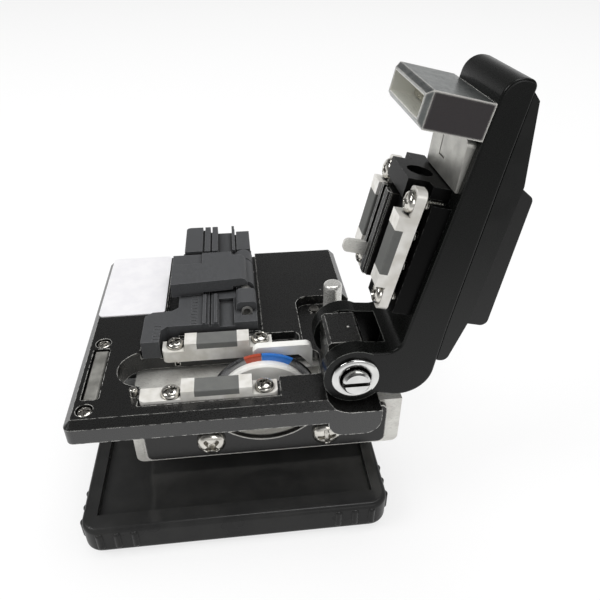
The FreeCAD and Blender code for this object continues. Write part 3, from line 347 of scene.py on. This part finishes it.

# %% [markdown]
# Deck, lid and front plate are machined aluminium, bead blasted and anodised
# black. The oxide is a thin dark glaze over metal: nearly black, satin, with a
# fine grain, and it chips to bright metal along machined edges. The bright
# edges are that wear and a painted highlight as well. Both could be painted by
# hand on each piece. An edge mask finds every edge by itself, so one function
# dresses all black pieces and only its numbers differ. The anvil's lips are
# black too, and a painted highlight draws a thin white line along their edge.

# %% Black anodised aluminium
def anodised(name, colour, rough, edge, keep, width=0.2, grain=0.16, chips=0.0, glaze=1.5,
             cloudy="#181818", gloss=0.5):
    """Black oxide over bright metal: grain in the gloss, edges bright with wear and painted highlight.
    `chips` is how strongly small dots, about 5.5 mm apart, are chipped bright too."""
    material, tree, where = new_finish(name)
    grit = noise(tree, where, grain)
    cloud = add(tree, "MapRange", {0: noise(tree, where, 9.0, detail=3.0), 1: 0.35, 2: 0.65, 4: 0.6})
    wear_and_glint = edge_mask(tree, where, width, 0.9, keep)
    if chips:
        dots = add(tree, "Mapping", {"Vector": where, "Scale": [1 / (5.5 * MM)] * 3})
        cells = add(tree, "TexVoronoi", {"Vector": dots, "Scale": 1.0, "Randomness": 1.0})
        spot = add(tree, "MapRange", {0: cells, 1: 0.035, 2: 0.055, 3: chips, 4: 0.0})
        wear_and_glint = add(tree, "Math", {0: wear_and_glint, 1: spot}, operation="MAXIMUM")
    body = add(tree, "Mix", {0: cloud, 6: colour, 7: cloudy}, data_type="RGBA")
    # Edge colour where edges are worn or carry a painted highlight, and on chips, which are wear.
    body = add(tree, "Mix", {0: wear_and_glint, 6: body, 7: edge}, data_type="RGBA")
    # Half metallic: a worn edge is a row of tiny facets that scatter light as well as mirror it, and the
    # painted highlight reads bright from every side.
    metal = add(tree, "MapRange", {0: wear_and_glint, 4: 0.45})
    satin = add(tree, "MapRange", {0: grit, 1: 0.35, 2: 0.65, 3: rough - 0.04, 4: rough + 0.05})
    relief = add(tree, "Bump", {"Height": grit, "Distance": 0.003 * MM})
    surface = add(tree, "BsdfPrincipled", {"Base Color": body, "Metallic": metal, "Roughness": satin,
                                           "Normal": relief, "IOR": glaze, "Specular IOR Level": gloss})
    add(tree, "OutputMaterial", {"Surface": surface})
    return material


# Edge colours below are wear and painted highlight; where `keep` is 0 nothing breaks the line up, so there
# they are painted highlight only.
finishes["deck_anodised"] = anodised("anodised_deck", "#0f0f0e", 0.28, "#f0efea", 0.40, width=0.30,
                                     chips=0.9, glaze=1.7, cloudy="#131312")
finishes["lid_black"] = anodised("anodised_lid", "#0c0d0c", 0.28, "#7c7e7a", 0.34, width=0.28,
                                 cloudy="#101110", gloss=0.24)
# Painted highlight: a whole bright line along every edge of the front plate.
finishes["black_plate"] = anodised("anodised_front_plate", "#131211", 0.18, "#f6f4ef", 0.0, width=0.55,
                                   grain=0.10, gloss=0.4)
finishes["black_casting"] = anodised("anodised_frame", "#131313", 0.42, "#55544f", 0.50)
finishes["anvil_black"] = anodised("anodised_anvil", "#0f0f0f", 0.34, "#77766f", 0.45, gloss=0.2)
# Painted highlight: a white line along every edge of the anvil's lips.
finishes["anvil_edge_highlight"] = anodised("anvil_painted_edge_highlight", "#0e0e0e", 0.34, "#f6f5f1", 0.0, width=0.22, gloss=0.2)
finishes["mount_black"] = anodised("anodised_mount", "#060606", 0.34, "#4c4d4c", 0.46,
                                   cloudy="#090909", gloss=0.08)
print("with black pieces:", len(finishes))

# %% [markdown]
# Bright metals differ by how they were finished: plated and polished, ground
# one way, or tumbled. Anisotropic gloss would give ground metal its streaks,
# but a scratch pattern that may run along one axis changes the highlights as
# well and bakes to plain roughness, so one function with that covers them all.
# Pale pieces that read white from every side are less than fully metallic,
# because a pure metal shows only what it mirrors.

# %% Bright metals
def bright(name, colour, other, rough, spread, grain, stretch=(1, 1, 1), depth=0.002, metal=1.0, shade_reach=0.0):
    """Bare or plated metal: colour between two values, roughness varied by scratches.
    Its last argument is how near, in millimetres, a wall has to stand to darken what is beside it with
    painted shade."""
    material, tree, where = new_finish(name)
    scratch = noise(tree, where, grain, stretch, 3.0)
    cloud = add(tree, "MapRange", {0: noise(tree, where, 3.0), 1: 0.35, 2: 0.65})
    plating = add(tree, "Mix", {0: cloud, 6: colour, 7: other}, data_type="RGBA")
    if shade_reach:
        # Painted shade: a near wall darkens the plating towards dark brown-grey.
        open_sky = add(tree, "AmbientOcclusion", {"Distance": shade_reach * MM}, samples=6).outputs["AO"]
        unshaded = add(tree, "MapRange", {0: open_sky, 1: 0.35, 2: 0.85})
        plating = add(tree, "Mix", {0: unshaded, 6: "#1c1b19", 7: plating}, data_type="RGBA")
    uneven = add(tree, "MapRange", {0: scratch, 1: 0.35, 2: 0.65, 3: rough, 4: rough + spread})
    relief = add(tree, "Bump", {"Height": scratch, "Distance": depth * MM})
    surface = add(tree, "BsdfPrincipled", {"Base Color": plating, "Metallic": metal, "Roughness": uneven,
                                           "Normal": relief})
    add(tree, "OutputMaterial", {"Surface": surface})
    return material


finishes["screw_steel"] = bright("nickel_plated_screw", "#dedbd4", "#c9c6bf", 0.14, 0.10, 0.3, shade_reach=0.7)
finishes["chrome_pin"] = bright("polished_chrome", "#dededc", "#d0d0cf", 0.07, 0.07, 0.4,
                                depth=0.0008, shade_reach=1.1)
finishes["clamp_metal"] = bright("tumbled_nickel", "#faf8f3", "#e2dfd7", 0.30, 0.14, 0.12, (1, 1, 6),
                                 metal=0.3, shade_reach=0.5)
finishes["carriage_metal"] = bright("satin_nickel_carriage", "#ecebe5", "#d8d6d0", 0.26, 0.14, 0.10,
                                    (12, 1, 1), metal=0.4)
finishes["rail_steel"] = bright("ground_rail_steel", "#b6b7b6", "#9fa09f", 0.24, 0.16, 0.06, (30, 1, 1))
finishes["spring_steel"] = bright("drawn_spring_wire", "#a9a8a4", "#8f8e8a", 0.22, 0.10, 0.15)
finishes["magnet_nickel"] = bright("nickel_plated_magnet", "#d9d6cc", "#c9c6bc", 0.20, 0.12, 0.5)
finishes["light_grey"] = bright("satin_inner_plate", "#c6c5bf", "#b2b1ac", 0.36, 0.12, 0.10, (1, 14, 1),
                                metal=0.85)
finishes["label_silver"] = bright("label_foil", "#f4f3f5", "#eeedf0", 0.36, 0.10, 0.25, metal=0.1)
finishes["guard"] = bright("bead_blasted_guard", "#fafaf6", "#f0efea", 0.45, 0.10, 0.10, metal=0.1)
# Painted reflection: near white and barely metallic, the flange stays bright in the deck's shade, standing in
# for what a bare metal face mirrors there.
finishes["flange"] = bright("turned_flange_painted_reflection", "#fbfaf6", "#f0eee9", 0.40, 0.10, 0.08, metal=0.05)
finishes["button"] = bright("satin_button", "#ecebe7", "#dddcd7", 0.20, 0.10, 0.2, metal=0.6)
finishes["tube"] = bright("drawn_tube", "#bdbcb8", "#a6a5a1", 0.30, 0.12, 0.2, metal=0.6)
finishes["keeper"] = bright("rubbed_keeper_steel", "#b4b3ad", "#8d8c87", 0.40, 0.16, 0.35, metal=0.7)
print("with bright metals:", len(finishes))

# %% [markdown]
# The catch yoke is soft iron, ground on its faces. Its two end faces are
# darkened with painted shade, and a painted highlight runs as a bright rim
# round them, so its colour follows which way each face looks. The walls of its
# cavity are paler still, with painted light. Both could be set face by face, but
# a solid comes as loose triangles, so the material works out where a point lies
# in the drawn yoke.

# %% Ground iron yoke
CAVITY_X, CAVITY_Y = 3.45, 11.2  # the cavity's middle, drawn millimetres
CAVITY_HALF_X, CAVITY_HALF_Y = 1.72, 8.42
WALL = 0.01  # thickness over which the mask fades


def within(tree, along, middle, half):
    """1 where a coordinate lies no further than `half` millimetres from `middle`."""
    offset = add(tree, "Math", {0: along, 1: -middle * MM}, operation="ADD")
    away = add(tree, "Math", {0: offset}, operation="ABSOLUTE")
    return add(tree, "MapRange", {0: away, 1: (half - WALL) * MM, 2: (half + WALL) * MM, 3: 1.0, 4: 0.0})


material, tree, where = new_finish("ground_iron_yoke")
scratch = noise(tree, where, 0.05, (1, 40, 1), 3.0)
cloud = add(tree, "MapRange", {0: noise(tree, where, 2.2, detail=4.0), 1: 0.35, 2: 0.65})
facing = add(tree, "SeparateXYZ", {0: add(tree, "NewGeometry").outputs["Normal"]})
endwise = add(tree, "Math", {0: facing.outputs["Y"]}, operation="ABSOLUTE")
# Painted shade on the end faces, and a painted highlight round their rim.
shaded_end = add(tree, "MapRange", {0: endwise, 1: 0.90, 2: 0.97})
rim_glint = edge_mask(tree, where, 0.70, 4.0, 0.12)
# Back to the hinge and turned shut: coordinates of the drawn lid, counted from the hinge.
shut = add(tree, "Mapping", {"Vector": where, "Location": on_deck(HINGE), "Rotation": (0, LID_OPEN, 0)},
           vector_type="TEXTURE")
drawn = add(tree, "SeparateXYZ", {0: shut})
lit_cavity = add(tree, "Math", {0: within(tree, drawn.outputs["X"], CAVITY_X - HINGE[0], CAVITY_HALF_X),
                            1: within(tree, drawn.outputs["Y"], CAVITY_Y - HINGE[1], CAVITY_HALF_Y)},
             operation="MULTIPLY")
iron = add(tree, "Mix", {0: cloud, 6: "#7f8383", 7: "#999c9a"}, data_type="RGBA")
# Painted shade darkens the end faces, painted light pales the cavity walls, and a painted highlight brightens
# the rim.
iron = add(tree, "Mix", {0: shaded_end, 6: iron, 7: "#4c494a"}, data_type="RGBA")
iron = add(tree, "Mix", {0: lit_cavity, 6: iron, 7: "#e4e4dd"}, data_type="RGBA")
iron = add(tree, "Mix", {0: rim_glint, 6: iron, 7: "#f2f0ea"}, data_type="RGBA")
painted_light_mask = add(tree, "Math", {0: lit_cavity, 1: rim_glint}, operation="MAXIMUM")
# Less metallic where light is painted, so those places read pale from every side.
metal = add(tree, "MapRange", {0: painted_light_mask, 3: 1.0, 4: 0.35})
dull = add(tree, "MapRange", {0: scratch, 1: 0.35, 2: 0.65, 3: 0.26, 4: 0.44})
relief = add(tree, "Bump", {"Height": scratch, "Distance": 0.003 * MM})
surface = add(tree, "BsdfPrincipled", {"Base Color": iron, "Metallic": metal, "Roughness": dull,
                                       "Normal": relief})
add(tree, "OutputMaterial", {"Surface": surface})
finishes["yoke_steel"] = material
print("finish:", material.name)

# %% [markdown]
# The blade wheel is ground carbide. Its maker marks the cutting positions on
# the rim in red and blue ink. They could be separate thin pieces, but ink has
# no thickness, so they are plain bands of colour, found from the angle of a
# point round the blade's axis.

# %% Carbide wheel with ink bands
BLADE_AXIS = np.array([37.6, 0.0, -9.4])  # deck millimetres
BLUE_INK, RED_INK = (57, 91), (92, 110)  # degrees round the axis


def band(tree, angle, start, end):
    """1 where the angle in degrees lies between start and end."""
    above = add(tree, "Math", {0: angle, 1: math.radians(start)}, operation="GREATER_THAN")
    below = add(tree, "Math", {0: angle, 1: math.radians(end)}, operation="LESS_THAN")
    return add(tree, "Math", {0: above, 1: below}, operation="MULTIPLY")


material, tree, where = new_finish("ground_carbide")
from_axis = add(tree, "Mapping", {"Vector": where, "Location": -on_deck(BLADE_AXIS)})
split = add(tree, "SeparateXYZ", {0: from_axis})
angle = add(tree, "Math", {0: split.outputs["Z"], 1: split.outputs["X"]}, operation="ARCTAN2")
scratch = noise(tree, where, 0.1, detail=3.0)
blue = band(tree, angle, *BLUE_INK)
red = band(tree, angle, *RED_INK)
inked = add(tree, "Math", {0: blue, 1: red}, operation="MAXIMUM")
ground = add(tree, "MapRange", {0: scratch, 1: 0.35, 2: 0.65})
carbide = add(tree, "Mix", {0: ground, 6: "#7d7e80", 7: "#97989a"}, data_type="RGBA")
carbide = add(tree, "Mix", {0: blue, 6: carbide, 7: "#2f74c8"}, data_type="RGBA")
carbide = add(tree, "Mix", {0: red, 6: carbide, 7: "#b04a33"}, data_type="RGBA")
metal = add(tree, "MapRange", {0: inked, 3: 1.0, 4: 0.0})
dull = add(tree, "MapRange", {0: scratch, 1: 0.35, 2: 0.65, 3: 0.20, 4: 0.34})
surface = add(tree, "BsdfPrincipled", {"Base Color": carbide, "Metallic": metal, "Roughness": dull,
                                       "IOR": 1.5})
add(tree, "OutputMaterial", {"Surface": surface})
finishes["blade_steel"] = material
print("finishes:", len(finishes))

# %% [markdown]
# The record says which slot each solid takes its finish from, so one loop
# dresses them all. Eight solids share a slot with pieces that look different
# on the real tool, and get a finish of their own from a short list.

# %% Dress the solids
slot_of = {part["node"]: part["material_slot"] for part in frame["record"]["subparts"]}
own_finish = {"blade_guard": "guard", "blade_flange": "flange", "anvil_body": "anvil_black",
              "keeper_bar": "keeper", "clamp_mount": "mount_black", "adapter_pin": "tube",
              "anvil_lips": "anvil_edge_highlight", "lock_button": "button"}
for name, piece in nodes.items():
    piece.data.materials.clear()
    piece.data.materials.append(finishes[own_finish.get(name, slot_of[name])])
print("dressed", len(nodes), "solids")

# %% [markdown]
# Screws next. Each set is one piece, as each set is one node in the frame:
# crown and shank are one closed skin, turned a little differently from screw
# to screw, because no two are driven home to the same angle. Copies of one
# mesh would be less work, but they would all sit at the same turn.

# %% Screws
def screw_set(name, node, places, axis, sizes, turns, place=on_deck):
    """All screws of one set, in one mesh, at their seats' middles.
    The sizes are head radius, head height, shank radius and length under the head."""
    grids = [
        place(screw_grid(np.array(at, float), axis, *sizes, turn=turn))
        for at, turn in zip(places, turns)
    ]
    return stand_for(skin(name, grids, smooth=40), node, "screw_steel")


NEAR_ROW, FAR_ROW, FAR_UPPER = 4.6, 20.1, 19.5
SCREW_X = (19.0, 37.4)
low_places = [(x, y, 0.6) for y in (NEAR_ROW, FAR_ROW) for x in SCREW_X]
high_places = [(x, y, 4.55) for y in (NEAR_ROW, FAR_UPPER) for x in SCREW_X]
carriage_places = [(x, 3.6, -12.3) for x in (25.9, 50.0)]
keeper_places = [(3.1, 23.1, -0.9), (2.7, 2.3, -0.9)]
base_places = [(x, y, -32.45) for x in (8.5, 51.5) for y in (34.5, 43.0)]
rail_places = [(x, 27.6, -16.0) for x in (9.0, 28.0, 47.0)]
axle_place = BLADE_AXIS + [0.0, 10.7, 0.0]
screw_set("lower_clamp_screw_heads", "lower_clamp_screws", low_places, UP,
          (1.95, 1.25, 1.0, 5.1), (0.3, 1.1, 0.5, 0.9))
screw_set("upper_clamp_screw_heads", "upper_clamp_screws", high_places, DOWN,
          (1.95, 1.15, 1.0, 5.8), (0.2, 0.8, 1.3, 0.4), on_lid)
screw_set("carriage_screw_heads", "carriage_screws", carriage_places, FRONT,
          (3.0, 2.0, 1.5, 7.3), (0.75, 0.1))
screw_set("keeper_screw_heads", "keeper_screws", keeper_places, UP, (1.6, 0.8, 0.8, 2.3), (0.9, 0.2))
screw_set("base_screw_heads", "base_screws", base_places, DOWN, (2.2, 0.7, 1.2, 9.3), (0.4, 1.0, 0.1, 0.7))
screw_set("rail_screw_heads", "rail_screws", rail_places, FRONT, (1.7, 1.2, 1.0, 5.9), (0.6, 0.2, 1.2))
screw_set("blade_axle_head", "blade_axle", [axle_place], FRONT, (3.4, 1.2, 2.0, 8.7), (0.5,))

# %% [markdown]
# Springs are wire wound into a helix. A curve with a bevel would draw one too,
# but its ends stay open, so here a tube follows the helix: its section is a
# small circle in the plane square to the wire, and it closes at both ends. The
# end turns lie nearly flat, as a real spring is ground to sit square.

# %% Wound springs
def coil_grid(centre, low, high, radius, wire, turns):
    """Helix (R cos a, R sin a, h), h easing at both ends, with a circle of wire round it."""
    t = np.linspace(0, 1, int(turns * 28))
    a = 2 * math.pi * turns * t
    # Height eases in and out so that the end turns lie nearly flat.
    ease = t - 0.55 * np.sin(2 * math.pi * t) / (2 * math.pi)
    h = low + wire + (high - low - 2 * wire) * ease
    line = np.stack([centre[0] + radius * np.cos(a), centre[1] + radius * np.sin(a), h], -1)
    out = np.stack([np.cos(a), np.sin(a), np.zeros_like(a)], -1)
    along = np.gradient(line, axis=0)
    along /= np.linalg.norm(along, axis=1)[:, None]
    over = np.cross(along, out)
    b = np.linspace(0, 2 * math.pi, 12, endpoint=False)
    size = np.full(len(t), wire)
    size[[0, -1]] = 0.0
    ring = np.cos(b)[None, :, None] * out[:, None] + np.sin(b)[None, :, None] * over[:, None]
    grid = line[:, None] + size[:, None, None] * ring
    return np.concatenate([grid[:1], line[:1, None] + wire * ring[:1], grid[1:-1],
                           line[-1:, None] + wire * ring[-1:], grid[-1:]])


def direction(place, start, end):
    """Unit vector between two drawn points, in the frame."""
    step = place(end) - place(start)
    return tuple(step / np.linalg.norm(step))


def spring_piece(name, node, coils, place, anchor):
    """Coils in one mesh, in the place of the spring's solid, with a mesh of its own."""
    piece = stand_for(skin(name, [place(c) for c in coils], smooth=180), node, "spring_steel")
    far = np.array(anchor, float) + [0, 0, 1]
    direction(place, anchor, far)
    tuple(place(anchor))
    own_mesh(piece)


HOLDER_BACK, HOLDER_SEAT, CLAMP_TRAVEL = 6.3, 9.9, 0.8
for side, row in (("near", NEAR_ROW), ("far", FAR_UPPER)):
    coils = [coil_grid((x, row), HOLDER_BACK, HOLDER_SEAT, 0.78, 0.16, 6) for x in (25.0, 31.0)]
    spring_piece(side + "_clamp_coils", "clamp_springs", coils, on_lid,
                 (28.0, row, HOLDER_SEAT))

ANVIL_MIDDLE, ANVIL_BACK, ANVIL_SEAT, ANVIL_TRAVEL = (28.0, 12.2), 7.3, 10.75, 1.2
coils = [coil_grid(ANVIL_MIDDLE, ANVIL_BACK, ANVIL_SEAT, 1.3, 0.22, 5)]
spring_piece("anvil_coil", "anvil_spring", coils, on_lid,
             (*ANVIL_MIDDLE, ANVIL_SEAT))

BUTTON_MIDDLE, BUTTON_FOOT, BUTTON_BACK, BUTTON_TRAVEL = (55.6, 32.6), -8.3, -4.8, 2.0
coils = [coil_grid(BUTTON_MIDDLE, BUTTON_FOOT, BUTTON_BACK, 1.6, 0.22, 6)]
spring_piece("button_coil", "button_spring", coils, on_deck,
             (*BUTTON_MIDDLE, BUTTON_FOOT))

# %% [markdown]
# The bush in each arm ends in a wide bearing ring, turned, domed and polished.
# A torus that is pushed flat would be close, but it has no bore or seat. Its
# real section is closed: bore, small inner edge, dome, rim, seat and sleeve.
# A lathe form carries that section round the hinge axis.

# %% Domed bearing rings
RING_BORE, SLEEVE, RING_RIM, SLEEVE_END = 2.78, 3.7, 4.7, -3.6
FLANGE = 0.8


def ring_section(flange):
    """Closed (radius, height) section; height 0 is the flange's seat on the arm.
    The dome is a half turn: r = middle - reach cos a, h = flange - dome + dome sin^0.8 a."""
    turn = np.linspace(0, math.pi, 22)
    middle, reach, dome = 3.82, 0.88, 0.42
    crown = np.stack([middle - reach * np.cos(turn), flange - dome + dome * np.sin(turn) ** 0.8], -1)
    bore = [(RING_BORE, SLEEVE_END), (RING_BORE, flange - 0.62)]
    back = [(RING_RIM, 0.0), (SLEEVE, 0.0), (SLEEVE, SLEEVE_END), (RING_BORE, SLEEVE_END)]
    return np.concatenate([bore, crown, back])


for name, seat, axis in (("near", 1.2, FRONT), ("far", 18.8, BACK)):
    grid = lathe(ring_section(FLANGE), HINGE + [0.0, seat, 0.0], axis, 120)
    stand_for(skin(name + "_bearing_ring", [on_lid(grid)], smooth=35), name + "_bush", "chrome_pin")

# %% [markdown]
# The stage is a plain pale floor. To the camera, floor and world show nearly
# white by light of their own, while the light that falls on the object comes
# from three soft lamps and an even, moderate sky. White paint under stronger
# lamps would need no such trick, but pale pieces would then clip. Reflections
# see a bright sheet that fades out 60 to 130 mm in front of the object, and
# above it a room that dims upwards and to the left: black gloss needs
# something dark to mirror, as it has over a real table.

# %% Floor and world
floor = skin("floor", [np.array([[[x, y, 0.0] for x in (-4.0, 4.0)] for y in (-4.0, 4.0)])], wrap=False)
material = bpy.data.materials.new("pale_floor")
tree = emptied(material)
path = add(tree, "LightPath")
seen = add(tree, "Math", {0: path.outputs["Is Camera Ray"], 1: path.outputs["Is Glossy Ray"]},
           operation="MAXIMUM")
seen = add(tree, "Math", {0: seen, 1: path.outputs["Is Transmission Ray"]}, operation="MAXIMUM")
matt = add(tree, "BsdfDiffuse", {"Color": "#8c8c8c"})
front = add(tree, "SeparateXYZ", {0: add(tree, "TexCoord").outputs["Object"]}).outputs["Y"]
sheet_end = add(tree, "MapRange", {0: front, 1: -0.165, 2: -0.095, 3: 0.16, 4: 0.76})
share = add(tree, "Mix", {0: path.outputs["Is Camera Ray"], 2: sheet_end, 3: 0.72})
share = add(tree, "Math", {0: share, 1: seen}, operation="MULTIPLY")
glow = add(tree, "Emission", {"Color": (1, 1, 1, 1), "Strength": share})
add(tree, "OutputMaterial", {"Surface": add(tree, "AddShader", {0: matt, 1: glow})})
floor.data.materials.append(material)

world = bpy.data.worlds.new("studio")
bpy.context.scene.world = world
tree = emptied(world)
path = add(tree, "LightPath")
sky = add(tree, "SeparateXYZ", {0: add(tree, "TexCoord").outputs["Generated"]})
room = add(tree, "MapRange", {0: sky.outputs["Z"], 1: 0.02, 2: 0.40, 3: 0.95, 4: 0.13})
# The left of the room is dimmer still, so the deck's bevel on that side stays darker.
shade = add(tree, "MapRange", {0: sky.outputs["X"], 1: -0.75, 2: -0.10, 3: 0.30, 4: 1.0})
room = add(tree, "Math", {0: room, 1: shade}, operation="MULTIPLY")
level = add(tree, "Mix", {0: path.outputs["Is Glossy Ray"], 2: 0.60, 3: room})
level = add(tree, "Mix", {0: path.outputs["Is Camera Ray"], 2: level, 3: 0.975})
light = add(tree, "Background", {"Color": (1, 1, 1, 1), "Strength": level})
add(tree, "OutputWorld", {"Surface": light})
print("stage: floor and world")

# %% [markdown]
# Small products are lit by softboxes: large square lamps whose soft edges make
# long, calm highlights. A sun lamp would be simpler, but its shadows are hard.
# One lamp stands left as a window would, one overhead, and a weak one in front
# keeps the faces under the deck from going black.

# %% Lamps
LOOK_AT = Vector((0.0, 0.0, 0.04))


def softbox(name, at, size, watts):
    """A square area lamp that faces the object's middle."""
    lamp = bpy.data.lights.new(name, "AREA")
    lamp.size = size
    lamp.energy = watts
    holder = bpy.data.objects.new(name, lamp)
    bpy.context.scene.collection.objects.link(holder)
    holder.location = at
    holder.rotation_euler = (LOOK_AT - Vector(at)).to_track_quat("-Z", "Y").to_euler()
    print("lamp:", name, watts, "W")


softbox("window_left", (-0.55, -0.10, 0.60), 0.35, 2.2)
softbox("overhead", (0.15, 0.15, 0.85), 0.50, 2.6)
softbox("front_fill", (0.25, -0.70, 0.35), 0.40, 1.2)

# %% [markdown]
# The camera stands close, about 115 mm off the deck's front edge. It looks
# down by rather more than a third of a right angle and nearly square on to the
# front, turned slightly to the right. A track-to constraint would aim it at a
# point, but its tilt and turn are known, so three turns give its directions.

# %% Camera
PITCH, YAW, ROLL = (math.radians(a) for a in (33.92, -6.73, 0.246))
CAMERA_AT = (34.170, -82.744, 80.0)  # deck millimetres
spin = np.array([[math.cos(YAW), math.sin(YAW), 0], [-math.sin(YAW), math.cos(YAW), 0], [0, 0, 1]])
tip = np.array([[1, 0, 0], [0, -math.sin(PITCH), -math.cos(PITCH)], [0, math.cos(PITCH), -math.sin(PITCH)]])
roll = np.array([[math.cos(ROLL), -math.sin(ROLL), 0], [math.sin(ROLL), math.cos(ROLL), 0], [0, 0, 1]])
right, down, ahead = roll @ tip @ spin
lens = bpy.data.cameras.new("camera")
lens.sensor_width = 36.0
lens.lens = 35.04
lens.clip_start, lens.clip_end = 0.005, 20.0
camera = bpy.data.objects.new("camera", lens)
bpy.context.scene.collection.objects.link(camera)
turned = Matrix([list(row) for row in np.stack([right, -down, -ahead], 1)]).to_4x4()
camera.matrix_world = Matrix.Translation(on_deck(CAMERA_AT)) @ turned
bpy.context.scene.camera = camera
bpy.context.scene.view_settings.view_transform = "Standard"
print("camera at", on_deck(CAMERA_AT).round(4), "metres")
